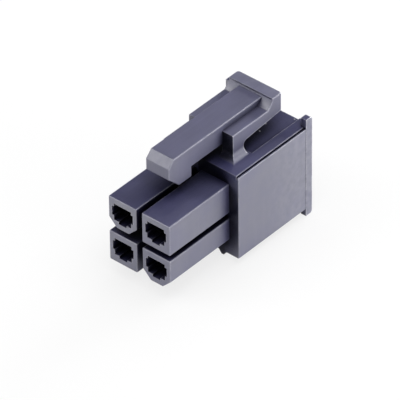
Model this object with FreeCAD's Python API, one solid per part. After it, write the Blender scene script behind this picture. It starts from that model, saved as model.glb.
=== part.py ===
import FreeCAD, Part
import os

from FreeCAD import Vector

# Wire to board connector housing, one injection moulding in nylon.
# X is across the two columns, Y runs from the mating end to the wire end, Z is up.
# Heights are measured from the middle of the four circuits until the last step, which
# moves the origin to the bottom centre of the whole moulding.

# Circuits
pitch = 4.2                 # spacing of the circuits, across and up
columns = 2
rows = 2

# Silos, the four tubes that plug into the header
silo_side = 3.5
silo_length = 8.7
silo_key = 1.0              # cut on both lower corners of every other silo

# Body
body_length = 10.9          # from the mating shoulder to the wire face
body_right = 5.05           # middle of the circuits to the right side wall
body_left = 4.45            # and to the left one, which has no rib along its top
body_rise = 5.25            # middle of the circuits to the flat top
body_drop = 4.7             # middle of the circuits to the underside
edge_radius = 0.12          # the moulding's outer edges

# Fine groove along the right top edge, which leaves a thin rib standing on the side wall
groove_width = 0.15
groove_depth = 0.24
side_rib_width = 0.15
side_rib_step = 0.13        # the rib stops this far below the flat top
fine_radius = 0.05          # edges of the rib and the groove

# Shallow pocket in the flat top, under the thumb end of the latch
pocket_border = 1.2         # flat left beside the pocket
pocket_depth = 0.25

# Rear flange with an ear at each of its four corners
flange_thickness = 0.9
flange_proud = 0.03         # the flange stands this far out of the right side wall
ear_width = 0.65
ear_rise = 1.0              # above the flat top
ear_drop = 0.8              # below the underside
ear_radius = 0.32

# Two guide ribs along the underside
guide_spacing = 5.9         # between the middles of the two ribs
guide_base = 0.95
guide_tip = 0.3
guide_height = 0.45

# Latch: a bar on two legs, with a hook at the mating end and a thumb pad at the wire end
bar_width = 2.9
bar_rise = 3.43             # flat top to the top of the bar
bar_depth = 2.3
nose_setback = 2.75         # mating face to the front of the nose
nose_chamfer = 0.78
nose_face = 1.25            # height of the upright front of the nose
hook_drop = 1.2             # the hook's catch below the underside of the bar
hook_flat = 1.85            # length of the hook's underside
wing_width = 5.54
wing_step = 0.74            # top of the wings below the top of the bar
wing_depth = 1.5            # wings at the legs
wing_tail_depth = 0.98      # wings at the wire end
leg_setback = 1.87          # mating shoulder to the front of the legs
leg_depth = 1.55            # legs measured along Y
leg_foot_radius = 0.75      # front and outer side of each leg, down to the flat top
leg_heel_radius = 0.3       # back of each leg, down to the pocket
window_radius = 0.5         # back of each leg, up to the wings
pad_length = 1.4
pad_rise = 0.32             # pad above the bar
pad_lip = 0.2               # upright lip along the front of the pad
pad_scoop = 0.72            # reach of the hollow in front of the pad
pad_scoop_sag = 0.04        # how far the hollow dips from a straight slope
pad_end = 1.73              # back of the pad to the wire face
pad_corner_radius = 0.3

# Cavities, one through each silo
mouth_width = 2.64          # widest part of the stepped mouth
mouth_shoulder_width = 2.16 # its top and its lower part
mouth_slot_width = 1.0      # the slot at its foot
mouth_rise = 1.1            # top of the mouth above the middle of the silo
mouth_shoulder_rise = 0.75
mouth_shoulder_drop = 0.3
mouth_lower_drop = 0.84
mouth_drop = 1.12           # foot of the slot below the middle of the silo
mouth_length = 1.4
chamber_width = 2.7
chamber_height = 2.5
chamber_corner = 0.6        # cut on the lower corners, so that a keyed silo keeps its wall
throat_width = 2.3
throat_height = 2.1
throat_start = 8.0          # the terminal's tangs catch on this shoulder
throat_length = 1.6
rear_side = 3.4             # square cavity for the crimp and the wire
rear_radius = 0.55
rear_lead_in = 0.22

# Sizes that follow from the ones above
length = silo_length + body_length
strip_edge = body_right - side_rib_width - groove_width
flange_half = body_right + flange_proud
side_rib_top = body_rise - side_rib_step
pocket_half = strip_edge - pocket_border
pocket_floor = body_rise - pocket_depth
flange_front = length - flange_thickness
bar_top = body_rise + bar_rise
bar_bottom = bar_top - bar_depth
wing_top = bar_top - wing_step
leg_front = silo_length + leg_setback
leg_back = leg_front + leg_depth
pad_back = length - pad_end
pad_front = pad_back - pad_length
pad_top = bar_top + pad_rise
foot_level = body_drop + ear_drop
overlap = 0.4               # depth by which joined forms run into each other


def prism_along_y(points, y_start, y_end):
    """Solid with an outline of (x, z) points, from one Y to another."""
    corners = [Vector(x, y_start, z) for x, z in points]
    face = Part.Face(Part.makePolygon(corners + corners[:1]))
    return face.extrude(Vector(0, y_end - y_start, 0))


def prism_along_x(points, half, curves=None):
    """Solid with an outline of (y, z) points, centred on the YZ plane.

    The side that leaves the point whose number is in curves is an arc through the point given there.
    """
    curves = curves or {}
    edges = []
    for number, (y, z) in enumerate(points):
        start = Vector(-half, y, z)
        end = Vector(-half, *points[(number + 1) % len(points)])
        if number in curves:
            edges.append(Part.Arc(start, Vector(-half, *curves[number]), end).toShape())
        else:
            edges.append(Part.makeLine(start, end))
    return Part.Face(Part.Wire(edges)).extrude(Vector(2 * half, 0, 0))


def block(width, y_start, y_end, z_low, z_high, x_middle=0):
    """Rectangular solid centred on x_middle."""
    corner = Vector(x_middle - width / 2, y_start, z_low)
    return Part.makeBox(width, y_end - y_start, z_high - z_low, corner)


def mirrored(points):
    """Closes the right half of an outline with its mirror image."""
    return points + [(-x, z) for x, z in reversed(points)]


def middle(edge):
    """Point half way along an edge."""
    return edge.valueAt((edge.FirstParameter + edge.LastParameter) / 2)


def near(value, target):
    """True where two lengths agree."""
    return abs(value - target) < 1e-4


def rounded(solid, radius, wanted):
    """Rounds the edges whose middle point passes the test."""
    edges = [edge for edge in solid.Edges if wanted(middle(edge))]
    return solid.makeFillet(radius, edges)


def circuits():
    """Middle of each circuit, and whether its silo is keyed."""
    for column in range(columns):
        for row in range(rows):
            x = (column - (columns - 1) / 2) * pitch
            z = (row - (rows - 1) / 2) * pitch
            yield x, z, (column + row) % 2 == 1


def silo(x, z, keyed):
    """One square tube before its cavity is cut; a keyed one has no lower corners."""
    half = silo_side / 2
    low = [(half - silo_key, -half), (half, -half + silo_key)] if keyed else [(half, -half)]
    outline = [(x + px, z + pz) for px, pz in mirrored(low + [(half, half)])]
    tube = prism_along_y(outline, 0, silo_length + overlap)
    return rounded(tube, edge_radius, lambda p: p.y < silo_length)


def body():
    """Block behind the silos, with a groove and a thin rib beside its right top edge."""
    groove_floor = side_rib_top - groove_depth
    rib_inside = body_right - side_rib_width
    outline = [
        (-body_left, -body_drop),
        (body_right, -body_drop),
        (body_right, side_rib_top),
        (rib_inside, side_rib_top),
        (rib_inside, groove_floor),
        (strip_edge, groove_floor),
        (strip_edge, body_rise),
        (-body_left, body_rise),
    ]
    solid = prism_along_y(outline, silo_length, flange_front + overlap)

    def fine(p):
        rib = near(p.x, rib_inside) and near(p.z, side_rib_top)
        return rib or near(p.x, strip_edge) and near(p.z, body_rise)

    def outer(p):
        side = near(p.x, body_right) or near(p.x, -body_left)
        return side and (near(p.y, silo_length) or near(p.z, -body_drop) or near(p.z, body_rise))

    return rounded(rounded(solid, fine_radius, fine), edge_radius, outer)


def flange():
    """Plate round the wire end, and its four ears."""
    solid = block(2 * flange_half, flange_front, length, -body_drop, side_rib_top)
    solid = solid.fuse(block(2 * strip_edge, flange_front, length, 0, body_rise))
    for side in (-1, 1):
        x = side * (flange_half - ear_width / 2)
        ear = block(ear_width, flange_front, length, -foot_level, body_rise + ear_rise, x)
        ear = rounded(ear, ear_radius, lambda p: near(p.y, length) and abs(p.z) > body_drop)
        solid = solid.fuse(ear)
    return solid


def guide_rib(side):
    """Rib of tapering section along the underside."""
    x = side * guide_spacing / 2
    foot = -body_drop - guide_height
    outline = [
        (x - guide_base / 2, -body_drop + overlap),
        (x - guide_base / 2, -body_drop),
        (x - guide_tip / 2, foot),
        (x + guide_tip / 2, foot),
        (x + guide_base / 2, -body_drop),
        (x + guide_base / 2, -body_drop + overlap),
    ]
    return prism_along_y(outline, silo_length, flange_front + overlap)


def latch_bar():
    """Long bar with a chamfered nose and a hook that ramps in and catches behind."""
    hook_bottom = bar_bottom - hook_drop
    ramp_top = bar_top - nose_chamfer - nose_face
    hook_front = nose_setback + ramp_top - hook_bottom
    outline = [
        (nose_setback + nose_chamfer, bar_top),
        (nose_setback, bar_top - nose_chamfer),
        (nose_setback, ramp_top),
        (hook_front, hook_bottom),
        (hook_front + hook_flat, hook_bottom),
        (hook_front + hook_flat, bar_bottom),
        (leg_front + overlap, bar_bottom),
        (pad_front + overlap, wing_top - wing_tail_depth + overlap),
        (pad_front + overlap, bar_top),
    ]
    bar = prism_along_x(outline, bar_width / 2)
    catch = lambda p: near(p.x, 0) and near(p.z, bar_bottom)
    return rounded(bar, edge_radius, lambda p: p.y < leg_front + overlap and not catch(p))


def latch_frame():
    """Wings, legs and thumb pad, drawn from the side and cut away between the legs."""
    floor = body_rise - overlap
    heel_back = leg_back + leg_heel_radius
    heel_turn = leg_heel_radius * (1 - 0.5 ** 0.5)
    scoop_foot = (pad_front - pad_scoop, wing_top)
    scoop_head = (pad_front, pad_top - pad_lip)
    scoop_middle = (pad_front - pad_scoop / 2 + pad_scoop_sag,
                    (wing_top + scoop_head[1]) / 2 - pad_scoop_sag)
    outline = [
        (leg_front, floor),
        (leg_front, wing_top),
        scoop_foot,
        scoop_head,
        (pad_front, pad_top),
        (pad_back, pad_top),
        (pad_back, wing_top - wing_tail_depth),
        (leg_back, wing_top - wing_depth),
        (leg_back, body_rise + leg_heel_radius),
        (heel_back, body_rise),
        (heel_back, floor),
    ]
    curves = {2: scoop_middle, 8: (leg_back + heel_turn, body_rise + heel_turn)}
    frame = prism_along_x(outline, wing_width / 2, curves)
    window = lambda p: near(p.y, leg_back) and near(p.z, wing_top - wing_depth)
    frame = rounded(frame, window_radius, window)
    outer = lambda p: near(abs(p.x), wing_width / 2)
    frame = rounded(frame, pad_corner_radius, lambda p: outer(p) and near(p.y, pad_back))
    corner_start = pad_back - pad_corner_radius
    top = lambda p: p.z > wing_top - edge_radius and not near(p.y, corner_start)
    frame = rounded(frame, edge_radius, lambda p: outer(p) and top(p))
    return frame


def feet():
    """Flare at the front and outer sides of the legs, where they meet the flat top."""
    half = wing_width / 2
    reach = half + leg_foot_radius + overlap
    front = leg_front - leg_foot_radius - overlap
    plate = block(2 * reach, front, leg_back, body_rise - overlap, body_rise)
    legs = block(wing_width, leg_front, leg_back, body_rise, body_rise + leg_foot_radius + overlap)
    base = lambda p: near(p.z, body_rise) and (near(p.y, leg_front) or near(abs(p.x), half))
    return rounded(plate.fuse(legs).removeSplitter(), leg_foot_radius, base)


def join_latch(shell):
    """Sets the latch on the flat top, with an open gap between its legs."""
    gap_front = leg_front - leg_foot_radius - overlap
    gap_back = leg_back + leg_heel_radius
    gap = block(bar_width, gap_front, gap_back, body_rise, bar_bottom)
    return shell.fuse([latch_frame(), feet()]).cut(gap).fuse(latch_bar())


def rounded_square(side, radius, x, y, z):
    """Closed wire of a square with round corners, facing along Y."""
    cube = block(side, y, y + side, z - side / 2, z + side / 2, x)
    cube = rounded(cube, radius, lambda p: near(p.y, y + side / 2))
    return min(cube.Faces, key=lambda face: face.CenterOfMass.y).OuterWire


def cell(width, height, x, z, y_start, y_end):
    """Straight stretch of a cavity, with both lower corners cut."""
    right = [
        (width / 2 - chamber_corner, -height / 2),
        (width / 2, -height / 2 + chamber_corner),
        (width / 2, height / 2),
    ]
    return prism_along_y([(x + px, z + pz) for px, pz in mirrored(right)], y_start, y_end)


def cavity(x, z):
    """Room for one terminal: stepped mouth, chamber, throat and wire end."""
    right = [
        (mouth_slot_width / 2, -mouth_drop),
        (mouth_slot_width / 2, -mouth_lower_drop),
        (mouth_shoulder_width / 2, -mouth_lower_drop),
        (mouth_shoulder_width / 2, -mouth_shoulder_drop),
        (mouth_width / 2, -mouth_shoulder_drop),
        (mouth_width / 2, mouth_shoulder_rise),
        (mouth_shoulder_width / 2, mouth_shoulder_rise),
        (mouth_shoulder_width / 2, mouth_rise),
    ]
    outline = [(x + px, z + pz) for px, pz in mirrored(right)]
    mouth = prism_along_y(outline, 0, mouth_length)
    chamber = cell(chamber_width, chamber_height, x, z, mouth_length, throat_start)
    throat_end = throat_start + throat_length
    throat = cell(throat_width, throat_height, x, z, throat_start, throat_end)
    wire_end = Part.Face(rounded_square(rear_side, rear_radius, x, throat_end, z))
    wire_end = wire_end.extrude(Vector(0, length - throat_end, 0))
    wide = rear_side + 2 * rear_lead_in
    inner = rounded_square(rear_side, rear_radius, x, length - rear_lead_in, z)
    outer = rounded_square(wide, rear_radius + rear_lead_in, x, length, z)
    funnel = Part.makeLoft([inner, outer], True)
    return mouth.fuse([chamber, throat, wire_end, funnel])


def build_housing():
    """Joins the outer forms and cuts the cavities."""
    pocket = block(2 * pocket_half, leg_back + leg_heel_radius, length + overlap,
                   pocket_floor, body_rise + overlap)
    shell = body().fuse([flange(), guide_rib(-1), guide_rib(1)]).cut(pocket)
    shell = join_latch(shell.fuse([silo(*place) for place in circuits()]))
    shell = shell.cut([cavity(x, z) for x, z, keyed in circuits()]).removeSplitter()
    shell.translate(Vector(0, -length / 2, foot_level))
    return shell


housing = build_housing()
os.makedirs("parts", exist_ok=True)
housing.exportStep("parts/housing.step")
box = housing.BoundBox
print("housing:", len(housing.Solids), "solid, valid", housing.isValid(),
      "volume", round(housing.Volume, 2), "box", round(box.XLength, 3), round(box.YLength, 3),
      round(box.ZLength, 3), "floor", round(box.ZMin, 4))
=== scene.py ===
import math

import bpy
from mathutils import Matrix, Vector


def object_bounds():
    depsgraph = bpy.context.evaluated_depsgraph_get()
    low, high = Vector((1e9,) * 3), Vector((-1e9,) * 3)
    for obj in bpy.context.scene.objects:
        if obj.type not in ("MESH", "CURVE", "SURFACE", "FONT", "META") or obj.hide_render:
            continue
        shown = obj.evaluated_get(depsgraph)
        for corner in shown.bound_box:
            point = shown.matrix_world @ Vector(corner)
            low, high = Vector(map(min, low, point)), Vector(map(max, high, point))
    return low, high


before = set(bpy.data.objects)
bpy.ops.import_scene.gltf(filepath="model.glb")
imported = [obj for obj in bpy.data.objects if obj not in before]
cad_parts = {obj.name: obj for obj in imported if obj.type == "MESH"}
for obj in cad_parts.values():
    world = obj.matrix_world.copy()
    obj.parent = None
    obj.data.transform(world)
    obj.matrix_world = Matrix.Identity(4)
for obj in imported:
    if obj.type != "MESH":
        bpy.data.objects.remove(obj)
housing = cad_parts["housing"]
cad_low, cad_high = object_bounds()
scene = bpy.context.scene
scene.view_settings.view_transform = "Standard"


# Housing
#
# One injection moulding in dark blue-black nylon. The tool's walls differ: the body came off
# polished steel, the silos off a finer grain, and the latch off a coarser one.

class Graph:
    """Node tree of a material or of the world, started afresh."""

    def __init__(self, tree):
        tree.nodes.clear()
        self.tree = tree

    def add(self, kind, inputs=None, **settings):
        """New node. Settings come first, since they decide which inputs there are."""
        node = self.tree.nodes.new("ShaderNode" + kind)
        for key, value in settings.items():
            setattr(node, key, value)
        for key, value in (inputs or {}).items():
            if isinstance(value, bpy.types.NodeSocket):
                self.tree.links.new(value, node.inputs[key])
            else:
                node.inputs[key].default_value = value
        return node

    def calc(self, operation, *values):
        return self.add("Math", dict(enumerate(values)), operation=operation).outputs[0]

    def mix(self, share, first, second, kind="FLOAT"):
        """The first value at share 0, and the second at share 1."""
        inputs = {"Factor": share, "A": first, "B": second}
        return self.add("Mix", inputs, data_type=kind).outputs["Result"]

    def ramp(self, value, start, end, first=0.0, last=1.0, **settings):
        """A value between start and end, moved into the span from first to last."""
        inputs = {"Value": value, "From Min": start, "From Max": end, "To Min": first, "To Max": last}
        return self.add("MapRange", inputs, **settings).outputs[0]

    def spread(self, noise, first=0.0, last=1.0):
        """A noise, which lies mostly between 0.35 and 0.65, over the span from first to last."""
        return self.ramp(noise, 0.35, 0.65, first, last)


def new_material(name):
    material = bpy.data.materials.new(name)
    material.use_nodes = True
    return material, Graph(material.node_tree)


MM = 0.001

shoulder = -1.1 * MM       # mating shoulder, along Y
silo_top = 9.6 * MM
body_top = 10.76 * MM
latch_end = 8.5 * MM       # behind this only the ears stand above the body
pocket_floor = 10.5 * MM
rear_highlight_start = 2.0 * MM      # from here to the wire end the sides of the body get a painted highlight
wire_end = cad_high[1]
latch_top_pale_start = 5.0 * MM     # from here to its end the top of the latch grows paler

body_finish = 0.33         # these four as roughness
silo_finish = 0.4
latch_finish = 0.52
pocket_finish = 0.31
dark_nylon = (0.021, 0.021, 0.072, 1)
light_nylon = (0.033, 0.033, 0.100, 1)
rubbed_and_highlit_nylon = (0.4, 0.4, 0.47, 1)
painted_shade_nylon = (0.002, 0.002, 0.005, 1)
dust_grey = (0.35, 0.35, 0.38, 1)

nylon, graph = new_material("nylon")
coordinates = graph.add("TexCoord").outputs
place = coordinates["Object"]
along = graph.add("SeparateXYZ", {"Vector": place}).outputs
facing = graph.add("SeparateXYZ", {"Vector": coordinates["Normal"]}).outputs
level = graph.calc("GREATER_THAN", graph.calc("ABSOLUTE", facing["Z"]), 0.7)

# Finish that the tool gave each part
front = graph.calc("LESS_THAN", along["Y"], shoulder)
raised = graph.calc("GREATER_THAN", along["Z"], graph.mix(front, body_top, silo_top))
latch = graph.calc("MULTIPLY", raised, graph.calc("LESS_THAN", along["Y"], latch_end))
pocket = graph.calc("COMPARE", along["Z"], pocket_floor, 0.03 * MM)
finish = graph.mix(front, body_finish, silo_finish)
finish = graph.mix(latch, finish, latch_finish)
finish = graph.mix(pocket, finish, pocket_finish)

# Soft clouds from the flow of the melt, in the tone and the gloss, with streaks of the tool's
# polishing in the gloss: upright on the walls, and lengthwise on level faces, where they show more
cloud = graph.add("TexNoise", {"Vector": place, "Scale": 260, "Detail": 6, "Roughness": 0.65})
cloud = cloud.outputs["Fac"]
tone = graph.mix(graph.spread(cloud), dark_nylon, light_nylon, "RGBA")
upright = graph.add("Mapping", {"Vector": place, "Scale": (1, 1, 0.06)}).outputs[0]
lengthwise = graph.add("Mapping", {"Vector": place, "Scale": (1.5, 0.08, 1)}).outputs[0]
lines = graph.mix(level, upright, lengthwise, "VECTOR")
streak = graph.add("TexNoise", {"Vector": lines, "Scale": 900, "Detail": 3, "Roughness": 0.6})
uneven = graph.mix(graph.mix(level, 0.25, 0.6), cloud, streak.outputs["Fac"])
rough = graph.calc("ADD", finish, graph.spread(uneven, -0.04, 0.04))
gloss = graph.spread(uneven, 1.0, 0.84)

# Outer edges, found by looking into the plastic a short way, are soft
edge_reach = 0.13 * MM
edge_radius = 0.08 * MM
inner = graph.add("AmbientOcclusion", {"Distance": edge_reach}, samples=8, inside=True, only_local=True)
edge = graph.ramp(inner.outputs["AO"], 0.95, 0.65)
soft = graph.add("Bevel", {"Radius": graph.calc("MULTIPLY", edge, edge_radius)}, samples=8).outputs[0]

# Wear and painted highlights, which make the plastic paler in patches: along the edges, most on the
# side-facing ones, which catch the light from the right, on the sides growing towards the wire end, and on
# top of the latch towards its rear end
turned = graph.add("SeparateXYZ", {"Vector": soft}).outputs
# Painted highlight: edges and sides that face the light from the right get most of the paleness
side = graph.ramp(graph.calc("ABSOLUTE", turned["X"]), 0.1, 0.5, 0.2, 1.0)
# Painted highlight on the sides, growing towards the wire end
rear_highlight = graph.ramp(along["Y"], rear_highlight_start, wire_end, 0.0, 0.21)
rear_highlight = graph.calc("MULTIPLY", rear_highlight, graph.calc("SUBTRACT", 1.0, latch))
side_wear_and_highlight = graph.calc("MULTIPLY", side, graph.calc("ADD", edge, rear_highlight))
latch_top_pale = graph.ramp(along["Y"], latch_top_pale_start, latch_end, 0.0, 0.14)
latch_top_pale = graph.calc("MULTIPLY", latch_top_pale, graph.calc("MULTIPLY", latch, level))
patches = graph.add("TexNoise", {"Vector": place, "Scale": 1400, "Detail": 2})
patches = graph.spread(patches.outputs["Fac"], 0.4, 1.0)
worn_and_highlit = graph.calc("MULTIPLY", patches, graph.calc("ADD", side_wear_and_highlight, latch_top_pale))
# Pale colour for the wear and the painted highlights
pale_and_highlit = graph.mix(worn_and_highlit, tone, rubbed_and_highlit_nylon, "RGBA")

# Painted shade in deep corners, which darkens the colour and dims the gloss, most of all on the right of
# the front faces of the body and the legs
corner_reach = 4 * MM
depth = graph.add("AmbientOcclusion", {"Distance": corner_reach}, samples=12, only_local=True)
forward = graph.ramp(facing["Y"], -0.1, -0.6)
right = graph.calc("GREATER_THAN", along["X"], 0)
near_shoulder = graph.calc("COMPARE", along["Y"], 0, -2 * shoulder)
recess = graph.calc("MULTIPLY", forward, graph.calc("MULTIPLY", near_shoulder, right))
openness = graph.calc("POWER", depth.outputs["AO"], graph.mix(recess, 1.0, 2.5))
# Painted shade: colour and gloss darken towards the deep corners
clear = graph.ramp(openness, 0.33, 0.8, 0.04, 1.0)
shaded = graph.mix(clear, painted_shade_nylon, pale_and_highlit, "RGBA")

# A few specks of dust in the pocket
dust = graph.add("TexVoronoi", {"Vector": place, "Scale": 800}, voronoi_dimensions="2D").outputs
speck = graph.calc("LESS_THAN", dust["Distance"], 0.07)
few = graph.calc("GREATER_THAN", dust["Color"], 0.6)
speck = graph.calc("MULTIPLY", speck, graph.calc("MULTIPLY", few, pocket))
colour = graph.mix(speck, shaded, dust_grey, "RGBA")

# Grain of the tool's surface
grain_height = 0.01 * MM
grain = graph.add("TexNoise", {"Vector": place, "Scale": 4500, "Detail": 1, "Roughness": 0.5})
bump = graph.add("Bump", {"Strength": 0.22, "Distance": grain_height, "Height": grain.outputs["Fac"],
                          "Normal": soft})
# The painted shade of the deep corners also dims the gloss, through the specular tint
surface = graph.add("BsdfPrincipled", {
    "Base Color": colour,
    "Roughness": rough,
    "IOR": 1.91,
    "Specular IOR Level": 1.0,
    "Specular Tint": graph.calc("MULTIPLY", clear, gloss),
    "Normal": bump.outputs["Normal"],
})
graph.add("OutputMaterial", {"Surface": surface.outputs["BSDF"]})
housing.data.materials.clear()
housing.data.materials.append(nylon)


# Floor
#
# A white paper sweep. The camera sees it mostly as plain white, with a painted shadow round the
# object and a share of its real lighting, which keeps a faint shadow. Reflections see the same
# white further out, and the real paper with its shadow under the object.

bpy.ops.mesh.primitive_plane_add(size=3, location=(0, 0, 0))
floor = bpy.context.object
floor.name = "floor"

paper_white = 0.85
lit_share = 0.12           # what the camera sees of the paper's lighting
shadow_reach = 40 * MM
real_paper = 20 * MM       # reflections see the real paper this far out, and plain white
plain_paper = 60 * MM      # from here


def ray_kinds(graph):
    """Whether a ray comes straight from the camera, and whether by way of gloss or glass."""
    rays = graph.add("LightPath").outputs
    return rays["Is Camera Ray"], graph.calc("MAXIMUM", rays["Is Glossy Ray"], rays["Is Transmission Ray"])


paper, graph = new_material("white paper")
direct, mirrored = ray_kinds(graph)
radius = graph.add("VectorMath", {0: graph.add("TexCoord").outputs["Object"]}, operation="LENGTH")
outside = graph.ramp(radius.outputs["Value"], real_paper, plain_paper, interpolation_type="SMOOTHSTEP")
seen = graph.calc("MAXIMUM", direct, graph.calc("MULTIPLY", mirrored, outside))
matt = graph.add("BsdfDiffuse", {"Color": graph.mix(seen, paper_white, lit_share)})
# Painted shadow: the white glow dims where the object hides the paper's surroundings
under = graph.add("AmbientOcclusion", {"Distance": shadow_reach}, samples=16)
white = graph.ramp(under.outputs["AO"], 0.5, 1.0, 0.785, 0.85)
glow = graph.add("Emission", {"Color": (1, 1, 1, 1), "Strength": graph.calc("MULTIPLY", white, seen)})
sheet = graph.add("AddShader", {0: matt.outputs[0], 1: glow.outputs[0]})
graph.add("OutputMaterial", {"Surface": sheet.outputs[0]})
floor.data.materials.append(paper)


# Light
#
# A studio with large soft boxes close to the object, strongest low behind it, and a white
# wall round the horizon below a dark ceiling.

wall_top = 0.05            # heights as sines of the angle above the horizon
ceiling_edge = 0.3
box_width = 180 * MM
box_distance = 300 * MM

world = bpy.data.worlds.new("studio")
scene.world = world
world.use_nodes = True
graph = Graph(world.node_tree)
direct, mirrored = ray_kinds(graph)
height = graph.add("SeparateXYZ", {"Vector": graph.add("TexCoord").outputs["Generated"]}).outputs["Z"]
wall = graph.ramp(height, wall_top, ceiling_edge, 1.0, 0.03, interpolation_type="SMOOTHSTEP")
room = graph.mix(mirrored, 0.04, wall)
strength = graph.mix(direct, room, 1.0)
background = graph.add("Background", {"Color": (1, 1, 1, 1), "Strength": strength})
graph.add("OutputWorld", {"Surface": background.outputs[0]})


def set_up(stand, target, azimuth, elevation, distance):
    """Lamp or camera in the scene, facing the target: azimuth 0 is its front, and 90 its right."""
    a, e = math.radians(azimuth), math.radians(elevation)
    back = Vector((math.sin(a) * math.cos(e), -math.cos(a) * math.cos(e), math.sin(e)))
    scene.collection.objects.link(stand)
    stand.location = target + back * distance
    stand.rotation_euler = back.to_track_quat("Z", "Y").to_euler()


def soft_box(name, azimuth, elevation, power):
    """Square lamp close to the object, which faces its foot."""
    lamp = bpy.data.lights.new(name, "AREA")
    lamp.size = box_width
    lamp.energy = power
    set_up(bpy.data.objects.new(name, lamp), Vector(), azimuth, elevation, box_distance)


soft_box("low right", 100, 12, 0.54)
soft_box("low behind", 180, 12, 1.46)
soft_box("front left", -40, 40, 0.40)
soft_box("high right", 50, 68, 0.42)
soft_box("high behind", 140, 68, 0.30)


# Camera
#
# A long lens far off, so that parallel edges stay nearly parallel. It looks down at the mating
# end and the right side, at the photograph's angle.

azimuth, elevation, roll = 41.13, 38.31, -0.73
aim = Vector((0, -0.94, 5.38)) * MM
distance = 554.6 * MM
focal_pixels = 5767
frame_pixels = 400

camera_data = bpy.data.cameras.new("camera")
camera_data.sensor_width = 36
camera_data.lens = focal_pixels / frame_pixels * camera_data.sensor_width
camera_data.clip_start = 10 * MM
camera = bpy.data.objects.new("camera", camera_data)
set_up(camera, aim, azimuth, elevation, distance)
camera.rotation_euler.rotate_axis("Z", math.radians(roll))
scene.camera = camera
